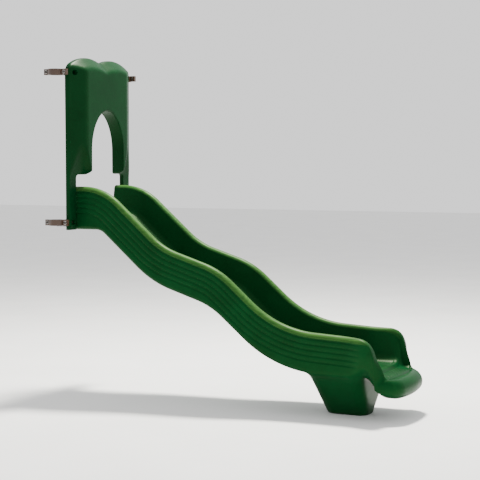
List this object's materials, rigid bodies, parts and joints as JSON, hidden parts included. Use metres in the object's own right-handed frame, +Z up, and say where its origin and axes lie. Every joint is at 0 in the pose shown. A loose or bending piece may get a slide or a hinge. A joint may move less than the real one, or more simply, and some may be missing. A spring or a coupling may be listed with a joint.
{
  "type": "wave slide",
  "caption": "Straight slide with waves along its length, a foot and a rolled lip at the exit, an arched sit-down hood at the top and clamps for two round posts.",
  "frame": {"origin": "centre of the four deck bolt holes, on the seat face of the deck angle", "axes": "+X down the slide towards the exit, +Y to the slider's left, +Z up"},
  "size_m": [2.384, 0.984, 2.2502],
  "materials": {
    "chute_plastic": "moulded forest green, slight texture",
    "hood_plastic": "moulded forest green, slight texture",
    "brown_paint": "brown powder coat",
    "galvanised_steel": "hot-dip galvanised",
    "stainless_steel": "stainless",
    "dark_bolts": "dark coated",
    "brass": "turned",
    "black_plastic": "moulded"
  },
  "bodies": {
    "root": {"slide_chute": "chute_plastic", "entrance_hood": "hood_plastic", "deck_angle": "galvanised_steel", "chute_screws": "stainless_steel", "chute_inserts": "brass", "anchor_plate": "galvanised_steel", "plate_screws": "stainless_steel", "plate_inserts": "brass", "vent_plugs": "black_plastic", "clamp_washers": "stainless_steel", "clamp_bolts": "dark_bolts", "clamp_nuts": "dark_bolts", "hood_washers": "stainless_steel", "hood_bolts": "dark_bolts", "hood_nuts": "dark_bolts", "hood_spacers": "black_plastic", "upper_left_clamp_inner": "brown_paint", "upper_left_clamp_outer": "brown_paint", "upper_right_clamp_inner": "brown_paint", "upper_right_clamp_outer": "brown_paint", "lower_left_clamp_inner": "brown_paint", "lower_left_clamp_outer": "brown_paint", "lower_right_clamp_inner": "brown_paint", "lower_right_clamp_outer": "brown_paint"}
  },
  "joints": []
}
